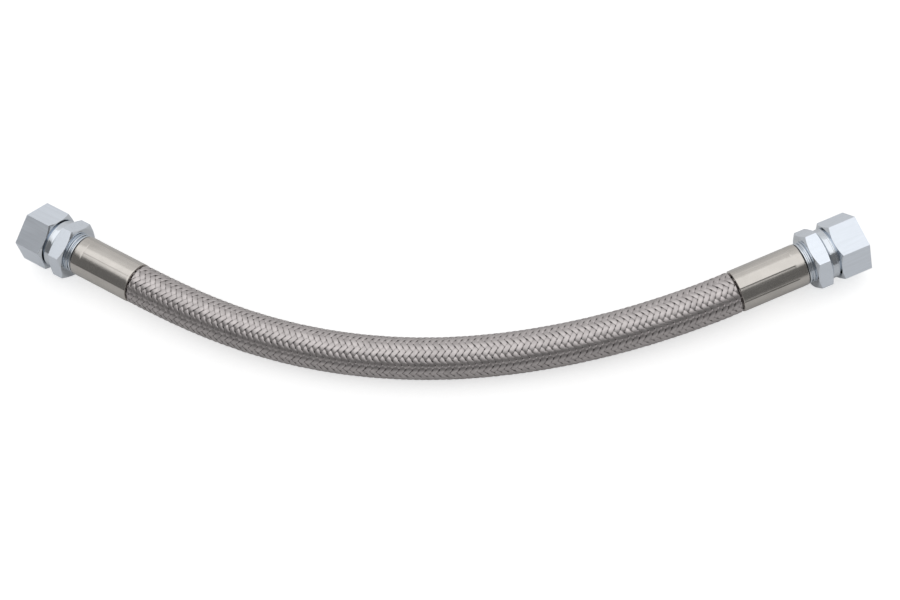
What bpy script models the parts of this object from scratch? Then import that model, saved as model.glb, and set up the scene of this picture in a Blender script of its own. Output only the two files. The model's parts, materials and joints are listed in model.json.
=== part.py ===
"""Braided fuel line: a wire-braided rubber hose with a crimped swivel-nut fitting on each end.

Every piece is modelled flat, with the hose's centre line in the XY plane of the empty called
"assembly". The empty then lays the line on the three points that it rests on: the hexagon of each
insert and the middle of the hose.

A fitting is turned about its own Z axis. Z is 0 at the swivel nut's outer face and grows towards
the hose, so a distance along the fitting is called a depth.
"""

import math

import bmesh
import bpy
import numpy as np
from mathutils import Matrix, Vector

MM = 0.001

# Hose, as it lies between the two ferrules: its ends lie a span apart, and it bows out between them
HOSE_SPAN = 242.4 * MM
HOSE_BOW_DEPTH = 30.3 * MM
HOSE_BORE = 10.0 * MM
LINER_WALL = 2.6 * MM
BRAID_THICKNESS = 0.6 * MM
LAYER_GAP = 0.15 * MM
HOSE_SIDES = 16
FITTING_YAW = math.radians(26.3)

# Points on the hose's centre line, as shares of the span and of the bow, and the rings from each to the next
ROUTE = (
    (0.0, 0.0),
    (0.1592, 0.5545),
    (0.3267, 0.9043),
    (0.5, 1.0),
    (0.672, 0.8482),
    (0.8395, 0.4884),
    (1.0, -0.0462),
)
ROUTE_STEPS = 4

# Crimp, where the ferrule squeezes the hose onto the insert's tail
CRIMP_SQUEEZE = 1.1 * MM
CRIMP_SHOULDER = 0.7 * MM
FERRULE_LENGTH = 28.0 * MM
FERRULE_WALL = 1.03 * MM
FERRULE_COLLAR_LENGTH = 4.0 * MM
FERRULE_COLLAR_RISE = 0.08 * MM
FERRULE_LIP_LENGTH = 2.9 * MM
FERRULE_EDGE = 0.35 * MM

# Insert: the turned steel piece with the barbed tail, the hexagon and the 24 degree nose
INSERT_BORE = 7.4 * MM
BARB_COUNT = 5
BARB_PITCH = 3.6 * MM
BARB_DEPTH = 0.3 * MM
TAIL_SHORTFALL = 2.0 * MM
LOCK_GROOVE_STEP = 0.85 * MM
LOCK_BEAD_HEIGHT = 0.7 * MM
LOCK_BEAD_WIDTH = 1.0 * MM
COLLAR_RING_WIDTH = 0.9 * MM
COLLAR_RING_EDGE = 0.25 * MM
COLLAR_GROOVE_WIDTH = 0.5 * MM
COLLAR_GROOVE_DEPTH = 0.75 * MM
COLLAR_INSET = 0.08 * MM
INSERT_ACROSS_FLATS = 22.0 * MM
INSERT_HEX_THICKNESS = 6.2 * MM
NECK_DIAMETER = 12.6 * MM
SHOULDER_CLEARANCE = 0.8 * MM
SHOULDER_THICKNESS = 1.3 * MM
NOSE_HALF_ANGLE = math.radians(12.0)
NOSE_DEPTH = 5.0 * MM
NOSE_TIP_DIAMETER = 11.5 * MM
NOSE_TIP_EDGE = 0.4 * MM
INSERT_SIDES = 24

# O-ring in the nose
O_RING_SECTION = 1.5 * MM
O_RING_GROOVE_WIDTH = 2.0 * MM
O_RING_GROOVE_DIAMETER = 10.0 * MM
O_RING_STEPS = 6

# Swivel nut, M18 x 1.5, with its bore drawn at the thread's inner diameter
NUT_ACROSS_FLATS = 22.0 * MM
NUT_HEX_LENGTH = 12.4 * MM
NUT_BORE = 16.6 * MM
NUT_MOUTH_BEVEL = 0.9 * MM
NUT_SKIRT_DIAMETER = 20.4 * MM
NUT_SKIRT_LENGTH = 3.5 * MM
NUT_SKIRT_EDGE = 0.6 * MM
NUT_GROOVE_WIDTH = 0.4 * MM
NUT_GROOVE_DEPTH = 0.35 * MM
NUT_RING_WIDTH = 0.5 * MM
NUT_RING_HEIGHT = 0.1 * MM
NUT_LIP_LENGTH = 2.7 * MM
NUT_SIDES = 36
HEX_CHAMFER_ANGLE = math.radians(33.0)
HEX_CORNER_SPARE = 0.2 * MM

# Gaps between pieces that touch, and between the nut and the insert that it turns on
SEAT_GAP = 0.3 * MM
CRIMP_GAP = 0.25 * MM

# Direction that each hexagon's upper front flat faces, above the plane of the hose
LEFT_NUT_ROLL = math.radians(64.5)
LEFT_HEX_ROLL = math.radians(74.0)
RIGHT_NUT_ROLL = math.radians(82.0)
RIGHT_HEX_ROLL = math.radians(83.0)

RUBBER = ((0.03, 0.03, 0.032), 0.8, 0.0)
WOVEN_STEEL = ((0.50, 0.48, 0.47), 0.45, 1.0)
POLISHED_STEEL = ((0.62, 0.59, 0.56), 0.28, 1.0)
ZINC = ((0.62, 0.66, 0.70), 0.30, 1.0)

# Radii and depths that follow from the sizes above
liner_radius = HOSE_BORE / 2 + LINER_WALL
braid_radius = liner_radius + LAYER_GAP + BRAID_THICKNESS
ferrule_bore_radius = braid_radius - CRIMP_SQUEEZE + CRIMP_GAP
ferrule_radius = ferrule_bore_radius + FERRULE_WALL
barb_radius = HOSE_BORE / 2 - CRIMP_GAP
lock_groove_radius = barb_radius + LOCK_GROOVE_STEP
lock_bead_radius = lock_groove_radius + LOCK_BEAD_HEIGHT
collar_radius = ferrule_radius + FERRULE_COLLAR_RISE - COLLAR_INSET

nut_length = NUT_HEX_LENGTH + NUT_SKIRT_LENGTH
hex_start = nut_length + SEAT_GAP
hex_end = hex_start + INSERT_HEX_THICKNESS
collar_end = hex_end + 2 * COLLAR_RING_WIDTH + COLLAR_GROOVE_WIDTH
ferrule_start = collar_end + SEAT_GAP
ferrule_end = ferrule_start + FERRULE_LENGTH
lock_groove_end = ferrule_start + FERRULE_LIP_LENGTH + SEAT_GAP
hose_end = lock_groove_end + LOCK_BEAD_WIDTH + SEAT_GAP
gripped_length = ferrule_end - hose_end


def principled(name, looks):
    """A plain Principled material from (colour, roughness, metallic)."""
    colour, roughness, metallic = looks
    material = bpy.data.materials.new(name)
    material.use_nodes = True
    shader = material.node_tree.nodes["Principled BSDF"]
    shader.inputs["Base Color"].default_value = (*colour, 1.0)
    shader.inputs["Roughness"].default_value = roughness
    shader.inputs["Metallic"].default_value = metallic
    return material


def mesh_object(name, bm, looks, parent):
    """Turn a finished bmesh into a smooth-shaded object with its own material."""
    bmesh.ops.recalc_face_normals(bm, faces=bm.faces)
    mesh = bpy.data.meshes.new(name)
    bm.to_mesh(mesh)
    bm.free()
    mesh.shade_smooth()
    mesh.set_sharp_from_angle(angle=math.radians(28.0))
    mesh.materials.append(principled(name, looks))
    obj = bpy.data.objects.new(name, mesh)
    bpy.context.scene.collection.objects.link(obj)
    obj.parent = parent
    return obj


def empty(name, parent=None, matrix=None):
    """An empty that carries other objects."""
    obj = bpy.data.objects.new(name, None)
    bpy.context.scene.collection.objects.link(obj)
    obj.parent = parent
    if matrix is not None:
        obj.matrix_local = matrix
    return obj


def turned(name, section, sides, looks, parent):
    """A ring-shaped solid: a closed section of (depth, radius) points spun about local Z."""
    bm = bmesh.new()
    verts = [bm.verts.new((radius, 0.0, depth)) for depth, radius in section]
    edges = [bm.edges.new((vert, verts[i - 1])) for i, vert in enumerate(verts)]
    bmesh.ops.spin(
        bm, geom=verts + edges, cent=(0, 0, 0), axis=(0, 0, 1), angle=math.tau, steps=sides, use_merge=True
    )
    bmesh.ops.remove_doubles(bm, verts=bm.verts, dist=1e-7)
    return mesh_object(name, bm, looks, parent)


def cut_to_hexagon(obj, across_flats, length):
    """Keep only what of a turned solid lies inside a hexagonal bar along its axis."""
    bm = bmesh.new()
    bmesh.ops.create_cone(
        bm,
        cap_ends=True,
        segments=6,
        radius1=across_flats / math.sqrt(3),
        radius2=across_flats / math.sqrt(3),
        depth=3 * length,
    )
    bar = mesh_object(obj.name + "_bar", bm, ZINC, obj)
    bar.hide_render = True
    bar.display_type = "WIRE"
    trim = obj.modifiers.new("hexagon", "BOOLEAN")
    trim.operation = "INTERSECT"
    trim.object = bar


def smooth_route():
    """Centre line of the free hose: a smooth curve through ROUTE that leaves along both fittings.

    Returns (point, direction) pairs in the assembly's plane, with ROUTE_STEPS from one route point to
    the next.
    """
    points = np.array(ROUTE) * (HOSE_SPAN, -HOSE_BOW_DEPTH)
    gaps = np.linalg.norm(np.diff(points, axis=0), axis=1)
    count = len(points)
    matrix = np.eye(count)
    slopes = np.zeros((count, 2))
    slopes[0] = (math.cos(FITTING_YAW), -math.sin(FITTING_YAW))
    slopes[-1] = (math.cos(FITTING_YAW), math.sin(FITTING_YAW))
    for i in range(1, count - 1):
        before, after = gaps[i - 1], gaps[i]
        matrix[i, i - 1 : i + 2] = (after, 2 * (before + after), before)
        rise_before = (points[i] - points[i - 1]) / before
        rise_after = (points[i + 1] - points[i]) / after
        slopes[i] = 3 * (after * rise_before + before * rise_after)
    slopes = np.linalg.solve(matrix, slopes)

    samples = []
    for i, gap in enumerate(gaps):
        for step in range(ROUTE_STEPS + (i == count - 2)):
            t = step / ROUTE_STEPS
            point = (
                (2 * t**3 - 3 * t**2 + 1) * points[i]
                + (t**3 - 2 * t**2 + t) * gap * slopes[i]
                + (3 * t**2 - 2 * t**3) * points[i + 1]
                + (t**3 - t**2) * gap * slopes[i + 1]
            )
            heading = (
                (6 * t**2 - 6 * t) * (points[i] - points[i + 1]) / gap
                + (3 * t**2 - 4 * t + 1) * slopes[i]
                + (3 * t**2 - 2 * t) * slopes[i + 1]
            )
            samples.append((Vector((*point, 0.0)), Vector((*heading, 0.0)).normalized()))
    return samples


def hose_stations():
    """Rings of the hose from one cut end to the other, as (point, direction, squeezed)."""
    free = smooth_route()
    stations = []
    for (point, direction), outward in ((free[0], -1), (free[-1], 1)):
        shoulder_start = SEAT_GAP
        shoulder_end = SEAT_GAP + CRIMP_SHOULDER
        end = [
            (point + direction * outward * gripped_length, direction, True),
            (point - direction * outward * shoulder_start, direction, True),
            (point - direction * outward * shoulder_end, direction, False),
        ]
        stations.append(end)
    middle = [(point, direction, False) for point, direction in free[1:-1]]
    return stations[0] + middle + stations[1][::-1]


def hose_layer(name, outer_radius, inner_radius, inner_squeeze, looks, parent):
    """One layer of the hose: a tube along the stations, drawn in where the ferrules squeeze it."""
    bm = bmesh.new()
    rings = []
    for point, direction, squeezed in hose_stations():
        side = Vector((direction.y, -direction.x, 0.0))
        outer = outer_radius - (CRIMP_SQUEEZE if squeezed else 0.0)
        inner = inner_radius - (inner_squeeze if squeezed else 0.0)
        pair = []
        for radius in (outer, inner):
            ring = []
            for i in range(HOSE_SIDES):
                angle = math.tau * i / HOSE_SIDES
                offset = side * math.cos(angle) + Vector((0.0, 0.0, math.sin(angle)))
                ring.append(bm.verts.new(point + offset * radius))
            pair.append(ring)
        rings.append(pair)
    for (outer, inner), (next_outer, next_inner) in zip(rings, rings[1:]):
        for i in range(HOSE_SIDES):
            j = (i + 1) % HOSE_SIDES
            bm.faces.new((outer[i], outer[j], next_outer[j], next_outer[i]))
            bm.faces.new((inner[j], inner[i], next_inner[i], next_inner[j]))
    for outer, inner in (rings[0], rings[-1]):
        for i in range(HOSE_SIDES):
            j = (i + 1) % HOSE_SIDES
            bm.faces.new((outer[i], outer[j], inner[j], inner[i]))
    return mesh_object(name, bm, looks, parent)


def hexagon_corner(across_flats):
    """Radius of a hexagon's corners."""
    return across_flats / math.sqrt(3)


def chamfer_depth(across_flats):
    """How far along the axis a hexagon's end chamfer runs, from its rim down to the flats."""
    rise = hexagon_corner(across_flats) + HEX_CORNER_SPARE - across_flats / 2
    return rise * math.tan(HEX_CHAMFER_ANGLE)


def ferrule(name, parent):
    """Crimped shell: a lip that locks into the insert's groove, and a skirt round the hose."""
    lip_end = ferrule_start + FERRULE_LIP_LENGTH
    collar_outer = ferrule_radius + FERRULE_COLLAR_RISE
    step = ferrule_start + FERRULE_COLLAR_LENGTH
    section = [
        (ferrule_start, lock_groove_radius + SEAT_GAP),
        (lip_end, lock_groove_radius + SEAT_GAP),
        (lip_end, ferrule_bore_radius),
        (ferrule_end, ferrule_bore_radius),
        (ferrule_end, ferrule_radius - FERRULE_EDGE),
        (ferrule_end - FERRULE_EDGE, ferrule_radius),
        (step + FERRULE_EDGE, ferrule_radius),
        (step, collar_outer),
        (ferrule_start + FERRULE_EDGE, collar_outer),
        (ferrule_start, collar_outer - FERRULE_EDGE),
    ]
    return turned(name, section, 2 * HOSE_SIDES, POLISHED_STEEL, parent)


def nut_seat():
    """Depths where the nut's inner 45 degree seat starts, at its bore, and ends, at its lip."""
    seat_end = nut_length - NUT_LIP_LENGTH
    lip_radius = NECK_DIAMETER / 2 + SEAT_GAP
    return seat_end - (NUT_BORE / 2 - lip_radius), seat_end, lip_radius


def swivel_nut(name, parent):
    """Hexagon nut with a crimped skirt whose inner lip traps the insert's shoulder."""
    seat_start, seat_end, lip_radius = nut_seat()
    bore = NUT_BORE / 2
    skirt = NUT_SKIRT_DIAMETER / 2
    rim = hexagon_corner(NUT_ACROSS_FLATS) + HEX_CORNER_SPARE
    chamfer = chamfer_depth(NUT_ACROSS_FLATS)
    groove_end = NUT_HEX_LENGTH + NUT_GROOVE_WIDTH
    ring_end = groove_end + NUT_RING_WIDTH
    section = [
        (0.0, bore + NUT_MOUTH_BEVEL),
        (NUT_MOUTH_BEVEL, bore),
        (seat_start, bore),
        (seat_end, lip_radius),
        (nut_length, lip_radius),
        (nut_length, skirt - NUT_SKIRT_EDGE),
        (nut_length - NUT_SKIRT_EDGE, skirt),
        (ring_end, skirt),
        (ring_end, skirt + NUT_RING_HEIGHT),
        (groove_end, skirt + NUT_RING_HEIGHT),
        (groove_end, skirt - NUT_GROOVE_DEPTH),
        (NUT_HEX_LENGTH, skirt - NUT_GROOVE_DEPTH),
        (NUT_HEX_LENGTH, NUT_ACROSS_FLATS / 2),
        (NUT_HEX_LENGTH - chamfer, rim),
        (0.0, rim),
    ]
    nut = turned(name, section, NUT_SIDES, ZINC, parent)
    cut_to_hexagon(nut, NUT_ACROSS_FLATS, nut_length)
    return nut


def nose_section():
    """Outer line of the insert's nose, from its tip to the end of the cone, with the O-ring groove."""
    seat_start, seat_end, lip_radius = nut_seat()
    shoulder = NUT_BORE / 2 - SHOULDER_CLEARANCE
    back_start = seat_end + lip_radius - shoulder - SEAT_GAP * math.sqrt(2)
    cone_end = back_start - SHOULDER_THICKNESS
    slope = math.tan(NOSE_HALF_ANGLE)
    tip = NOSE_TIP_DIAMETER / 2
    middle = (NOSE_DEPTH + cone_end) / 2
    groove = (middle - O_RING_GROOVE_WIDTH / 2, middle + O_RING_GROOVE_WIDTH / 2)
    bottom = O_RING_GROOVE_DIAMETER / 2

    def on_cone(depth):
        return depth, tip + (depth - NOSE_DEPTH) * slope

    return [
        (NOSE_DEPTH, tip - NOSE_TIP_EDGE),
        on_cone(NOSE_DEPTH + NOSE_TIP_EDGE),
        on_cone(groove[0]),
        (groove[0], bottom),
        (groove[1], bottom),
        on_cone(groove[1]),
        on_cone(cone_end),
        (cone_end, shoulder),
        (back_start, shoulder),
        (back_start + shoulder - NECK_DIAMETER / 2, NECK_DIAMETER / 2),
    ], middle


def insert_hexagon_section():
    """Outer line of the insert from its neck over the hexagon to the two collar rings."""
    rim = hexagon_corner(INSERT_ACROSS_FLATS) + HEX_CORNER_SPARE
    chamfer = chamfer_depth(INSERT_ACROSS_FLATS)
    line = [
        (hex_start, NECK_DIAMETER / 2),
        (hex_start, INSERT_ACROSS_FLATS / 2),
        (hex_start + chamfer, rim),
        (hex_end - chamfer, rim),
        (hex_end, INSERT_ACROSS_FLATS / 2),
    ]
    ring_start = hex_end
    for ring in range(2):
        ring_end = ring_start + COLLAR_RING_WIDTH
        first_radius = collar_radius - (COLLAR_RING_EDGE if ring else 0.0)
        line += [
            (ring_start, first_radius),
            (ring_start + COLLAR_RING_EDGE, collar_radius),
            (ring_end - COLLAR_RING_EDGE, collar_radius),
            (ring_end, collar_radius - COLLAR_RING_EDGE),
        ]
        if ring == 0:
            line += [
                (ring_end, collar_radius - COLLAR_GROOVE_DEPTH),
                (ring_end + COLLAR_GROOVE_WIDTH, collar_radius - COLLAR_GROOVE_DEPTH),
            ]
        ring_start = ring_end + COLLAR_GROOVE_WIDTH
    return line


def tail_section():
    """Outer line of the insert from the ferrule's lock groove to the end of the barbed tail."""
    bead_end = lock_groove_end + LOCK_BEAD_WIDTH
    tail_end = ferrule_end - TAIL_SHORTFALL
    line = [
        (collar_end, lock_groove_radius),
        (lock_groove_end, lock_groove_radius),
        (lock_groove_end, lock_bead_radius),
        (bead_end, lock_bead_radius),
        (bead_end, barb_radius - BARB_DEPTH),
    ]
    for barb in range(BARB_COUNT, 0, -1):
        crest = tail_end - barb * BARB_PITCH
        line += [(crest, barb_radius), (crest + BARB_PITCH / 3, barb_radius - BARB_DEPTH)]
    return line + [(tail_end, barb_radius - BARB_DEPTH)]


def insert(name, parent):
    """Turned insert, in one piece from the nose to the barbed tail, with its fuel bore."""
    nose, groove_middle = nose_section()
    bore = INSERT_BORE / 2
    outer = nose + insert_hexagon_section() + tail_section()
    section = outer + [(ferrule_end - TAIL_SHORTFALL, bore), (NOSE_DEPTH, bore)]
    body = turned(name, section, INSERT_SIDES, ZINC, parent)
    cut_to_hexagon(body, INSERT_ACROSS_FLATS, ferrule_end)
    return body, groove_middle


def o_ring(name, depth, parent):
    """Rubber ring in the nose's groove."""
    section_radius = O_RING_SECTION / 2
    centre_radius = O_RING_GROOVE_DIAMETER / 2 + SEAT_GAP + section_radius
    section = [
        (
            depth + section_radius * math.cos(math.tau * i / O_RING_STEPS),
            centre_radius + section_radius * math.sin(math.tau * i / O_RING_STEPS),
        )
        for i in range(O_RING_STEPS)
    ]
    return turned(name, section, INSERT_SIDES, RUBBER, parent)


def fitting(side, mouth, direction, nut_roll, hex_roll, parent):
    """One end of the line. Direction points along the hose, away from this fitting."""
    front = Vector((direction.y, -direction.x, 0.0))
    if front.y > 0.0:
        front = -front
    frame = Matrix((front, direction.cross(front), direction)).transposed().to_4x4()
    frame.translation = mouth - direction * ferrule_end
    seat = empty("fitting_" + side, parent, frame)
    turn = -1.0 if side == "left" else 1.0

    ferrule("ferrule_" + side, seat)
    body, groove_middle = insert("insert_" + side, seat)
    body.rotation_euler.z = turn * hex_roll
    o_ring("o_ring_" + side, groove_middle, seat)
    nut = swivel_nut("swivel_nut_" + side, seat)
    nut.rotation_euler.z = turn * nut_roll
    return body


def lowest_corner(hexagon):
    """Lowest corner of an insert's hexagon at its hose end, in the assembly's frame."""
    frame = hexagon.parent.matrix_local @ hexagon.matrix_local
    reach = hexagon_corner(INSERT_ACROSS_FLATS)
    depth = hex_end - chamfer_depth(INSERT_ACROSS_FLATS)
    corners = []
    for i in range(6):
        angle = math.tau * (i + 0.5) / 6
        corners.append(frame @ Vector((reach * math.cos(angle), reach * math.sin(angle), depth)))
    return min(corners, key=lambda corner: corner.z)


def lay_down(assembly, supports):
    """Turn the assembly onto its three support points, and set it on the floor over the origin."""
    left, middle, right = supports
    up = (middle - left).cross(right - left).normalized()
    assembly.rotation_mode = "QUATERNION"
    assembly.rotation_quaternion = up.rotation_difference(Vector((0.0, 0.0, 1.0)))
    bpy.context.view_layer.update()
    graph = bpy.context.evaluated_depsgraph_get()
    points = []
    for obj in bpy.data.objects:
        if obj.type == "MESH" and not obj.hide_render:
            solid = obj.evaluated_get(graph)
            points += [solid.matrix_world @ vert.co for vert in solid.data.vertices]
    low, high = np.min(points, axis=0), np.max(points, axis=0)
    assembly.location = (-(low[0] + high[0]) / 2, -(low[1] + high[1]) / 2, -low[2])
    bpy.context.view_layer.update()


def build():
    """Make every piece, then lay the line on the floor."""
    for obj in list(bpy.data.objects):
        bpy.data.objects.remove(obj)

    assembly = empty("assembly")
    hose_layer("inner_tube", liner_radius, HOSE_BORE / 2, 0.0, RUBBER, assembly)
    braid_inner = liner_radius + LAYER_GAP
    hose_layer("wire_braid", braid_radius, braid_inner, CRIMP_SQUEEZE, WOVEN_STEEL, assembly)

    route = smooth_route()
    (left_mouth, left_heading), (right_mouth, right_heading) = route[0], route[-1]
    left = fitting("left", left_mouth, left_heading, LEFT_NUT_ROLL, LEFT_HEX_ROLL, assembly)
    right = fitting("right", right_mouth, -right_heading, RIGHT_NUT_ROLL, RIGHT_HEX_ROLL, assembly)
    bpy.context.view_layer.update()

    middle = min((point for point, _ in route), key=lambda point: point.y)
    under_hose = middle - Vector((0.0, 0.0, braid_radius))
    lay_down(assembly, (lowest_corner(left), under_hose, lowest_corner(right)))


build()
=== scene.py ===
"""Braided fuel line on a white studio floor.

A woven steel hose bows between two crimped fittings, each with a union nut that swivels on it.
Lengths are in metres in the row frame. Along a fitting, depth 0 is the nut's outer face and depth
grows towards the hose. Along the hose, station 0 is the left ferrule's mouth.
"""

import json
import logging
import math
from dataclasses import dataclass, field, replace
from enum import Enum
from typing import Callable, Iterable, Sequence

import bpy
import numpy as np
from mathutils import Matrix, Vector


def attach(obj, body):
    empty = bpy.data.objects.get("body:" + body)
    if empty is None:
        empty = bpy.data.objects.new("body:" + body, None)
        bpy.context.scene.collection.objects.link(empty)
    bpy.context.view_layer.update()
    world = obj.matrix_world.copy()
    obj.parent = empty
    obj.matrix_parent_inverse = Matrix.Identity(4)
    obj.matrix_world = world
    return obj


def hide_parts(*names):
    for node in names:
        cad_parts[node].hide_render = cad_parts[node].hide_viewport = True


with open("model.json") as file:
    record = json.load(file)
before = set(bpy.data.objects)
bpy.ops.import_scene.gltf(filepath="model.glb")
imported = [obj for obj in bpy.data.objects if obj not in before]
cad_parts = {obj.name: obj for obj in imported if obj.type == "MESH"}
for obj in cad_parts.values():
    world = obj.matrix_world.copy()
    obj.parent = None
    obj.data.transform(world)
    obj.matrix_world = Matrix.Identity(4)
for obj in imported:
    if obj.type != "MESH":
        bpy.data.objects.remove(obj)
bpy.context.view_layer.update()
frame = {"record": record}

MM = 0.001
LOG = logging.getLogger("fuel_line")

Obj = bpy.types.Object
Socket = bpy.types.NodeSocket
Outline = list[tuple[float, float]]


class Side(Enum):
    """The two ends of the line."""

    LEFT = "left"
    RIGHT = "right"

    @property
    def turn(self) -> float:
        """Sign of a roll about the fitting's axis on this side."""
        return -1.0 if self is Side.LEFT else 1.0


class Slot(Enum):
    """Material slots of the record."""

    RUBBER = "rubber"
    WIRE = "wire_braid"
    STEEL = "polished_steel"
    ZINC = "zinc_plate"


class Hand(Enum):
    """Direction in which a strand winds: how its angle above the front changes along the hose."""

    FALLING = -1
    RISING = 1

    @property
    def rhythm(self) -> float:
        """Shift of the weave's over and under on the strands of this hand, in crossings."""
        return 1.5 if self is Hand.FALLING else -0.5


# Placing


@dataclass(frozen=True)
class Seat:
    """Where a fitting sits: the centre of its nut's outer face, and the direction to the hose."""

    side: Side
    origin: Vector
    along: Vector
    up: Vector

    @classmethod
    def from_record(cls, side: Side, up: Vector) -> "Seat":
        """Read the seat from the swivel joint of that side.

        Args:
            side: The end of the line.
            up: Normal of the plane that the hose's centre line lies in.

        Returns:
            The seat, in the row frame.
        """
        joints = frame["record"]["behaviour"]["joints"]
        joint = next(j for j in joints if j["name"] == f"nut_{side.value}_swivel")
        return cls(side, Vector(joint["pos_m"]), -Vector(joint["axis"]).normalized(), up)

    def matrix(self, roll: float = 0.0) -> Matrix:
        """Give the seat's frame, turned about the fitting's axis.

        Args:
            roll: Angle in radians from the front towards the top.

        Returns:
            Matrix from the fitting's own frame, with Z along it, to the row frame.
        """
        front = (self.up.cross(self.along) * self.side.turn).normalized()
        across = self.along.cross(front)
        turned = Matrix((front, across, self.along)).transposed().to_4x4()
        turned.translation = self.origin
        return turned @ Matrix.Rotation(self.side.turn * roll, 4, "Z")


# Modelling by hand in code


class Bench:
    """The hand tools that every piece is made with."""

    @staticmethod
    def clear() -> None:
        """Leave edit mode and deselect everything."""
        if bpy.context.object and bpy.context.object.mode != "OBJECT":
            bpy.ops.object.mode_set(mode="OBJECT")
        for obj in list(bpy.context.selected_objects):
            obj.select_set(False)

    @staticmethod
    def take(obj: Obj) -> None:
        """Make one object the only selected and active one."""
        Bench.clear()
        obj.select_set(True)
        bpy.context.view_layer.objects.active = obj

    @staticmethod
    def edit(obj: Obj, kind: str = "EDGE", action: str = "DESELECT") -> None:
        """Enter edit mode on an object.

        Args:
            obj: The object.
            kind: What is selected there: VERT, EDGE or FACE.
            action: Whether all or nothing is selected at first: SELECT or DESELECT.
        """
        Bench.take(obj)
        bpy.ops.object.mode_set(mode="EDIT")
        bpy.ops.mesh.select_mode(type=kind)
        bpy.ops.mesh.select_all(action=action)

    @staticmethod
    def turn(name: str, outline: Outline, sides: int) -> Obj:
        """Turn a body on the lathe: extrude a circle along its outline, back to the first point.

        Args:
            name: Name of the new object.
            outline: (depth, radius) points, in order.
            sides: Number of sides of the circle.

        Returns:
            The body, about the Z axis, in object mode.
        """
        Bench.clear()
        depth, radius = outline[0]
        bpy.ops.mesh.primitive_circle_add(vertices=sides, radius=radius, enter_editmode=True)
        body = bpy.context.object
        body.name = name
        bpy.ops.transform.translate(value=(0.0, 0.0, depth))
        for (depth, radius), (next_depth, next_radius) in zip(outline, outline[1:]):
            bpy.ops.mesh.extrude_edges_move()
            bpy.ops.transform.translate(value=(0.0, 0.0, next_depth - depth))
            factor = next_radius / radius
            bpy.ops.transform.resize(value=(factor, factor, 1.0))
        bpy.ops.mesh.select_mode(type="EDGE")
        bpy.ops.mesh.select_all(action="DESELECT")
        bpy.ops.mesh.select_non_manifold()
        bpy.ops.mesh.bridge_edge_loops()
        bpy.ops.mesh.select_all(action="SELECT")
        bpy.ops.mesh.normals_make_consistent(inside=False)
        bpy.ops.object.mode_set(mode="OBJECT")
        return body

    @staticmethod
    def apply(obj: Obj, kind: str, **settings: object) -> None:
        """Put a modifier on an object and apply it.

        Args:
            obj: The object.
            kind: The modifier's type.
            **settings: Values of the modifier's properties.
        """
        Bench.take(obj)
        modifier = obj.modifiers.new(kind.lower(), kind)
        for key, value in settings.items():
            setattr(modifier, key, value)
        bpy.ops.object.modifier_apply(modifier=modifier.name)

    @staticmethod
    def keep_hexagon(obj: Obj, across_flats: float, reach: float) -> None:
        """Cut a turned body down to a hexagonal bar round the Z axis.

        Args:
            obj: The turned body.
            across_flats: Width of the bar over its flats.
            reach: How far the bar goes each way along Z.
        """
        Bench.clear()
        corner = across_flats / math.sqrt(3)
        bpy.ops.mesh.primitive_cylinder_add(vertices=6, radius=corner, depth=2 * reach)
        bar = bpy.context.object
        Bench.apply(obj, "BOOLEAN", operation="INTERSECT", solver="EXACT", object=bar)
        bpy.data.objects.remove(bar)

    @staticmethod
    def break_edges(obj: Obj, width: float, wanted: Callable[[Vector], bool]) -> None:
        """Round off the sharp edges whose middle is wanted.

        Args:
            obj: The object.
            width: Width of the rounding, where the faces beside it have room for it.
            wanted: Says of an edge's middle whether it is rounded.
        """
        Bench.edit(obj)
        bpy.ops.mesh.edges_select_sharp(sharpness=math.radians(20))
        bpy.ops.object.mode_set(mode="OBJECT")
        mesh = obj.data
        chosen = set()
        for edge in mesh.edges:
            ends = [mesh.vertices[i] for i in edge.vertices]
            if edge.select and wanted((ends[0].co + ends[1].co) / 2):
                chosen.add(edge.index)
        mesh.vertices.foreach_set("select", [False] * len(mesh.vertices))
        mesh.polygons.foreach_set("select", [False] * len(mesh.polygons))
        mesh.edges.foreach_set("select", [i in chosen for i in range(len(mesh.edges))])
        bpy.ops.object.mode_set(mode="EDIT")
        bpy.ops.mesh.bevel(offset=width, segments=2, profile=0.5, clamp_overlap=True)
        bpy.ops.object.mode_set(mode="OBJECT")

    @staticmethod
    def delete_faces(obj: Obj, unwanted: Callable[[Vector], bool]) -> None:
        """Delete the faces whose middle is unwanted."""
        Bench.edit(obj, "FACE")
        bpy.ops.object.mode_set(mode="OBJECT")
        for face in obj.data.polygons:
            face.select = unwanted(face.center)
        bpy.ops.object.mode_set(mode="EDIT")
        bpy.ops.mesh.delete(type="FACE")
        bpy.ops.object.mode_set(mode="OBJECT")

    @staticmethod
    def smooth(obj: Obj, angle: float = 32.0) -> None:
        """Shade an object smooth up to an angle in degrees, with its flats kept flat."""
        Bench.take(obj)
        bpy.ops.object.shade_smooth_by_angle(angle=math.radians(angle))
        Bench.apply(obj, "WEIGHTED_NORMAL", keep_sharp=True, weight=60)

    @staticmethod
    def copy(obj: Obj, name: str) -> Obj:
        """Copy an object with a mesh of its own."""
        twin = obj.copy()
        twin.data = obj.data.copy()
        twin.name = name
        bpy.context.scene.collection.objects.link(twin)
        return twin


def fillet(before: tuple, corner: tuple, after: tuple, radius: float, steps: int = 4) -> Outline:
    """Round one corner of an outline.

    Args:
        before: The point before the corner.
        corner: The corner itself.
        after: The point after it.
        radius: How far from the corner the rounding starts on both sides.
        steps: Number of straight pieces in the rounding.

    Returns:
        The points that take the corner's place.
    """
    tip = Vector(corner)
    first = tip + (Vector(before) - tip).normalized() * radius
    last = tip + (Vector(after) - tip).normalized() * radius
    points = []
    for i in range(steps + 1):
        t = i / steps
        point = first * (1 - t) ** 2 + tip * 2 * t * (1 - t) + last * t**2
        points.append((point.x, point.y))
    return points


# Finishes


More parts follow.
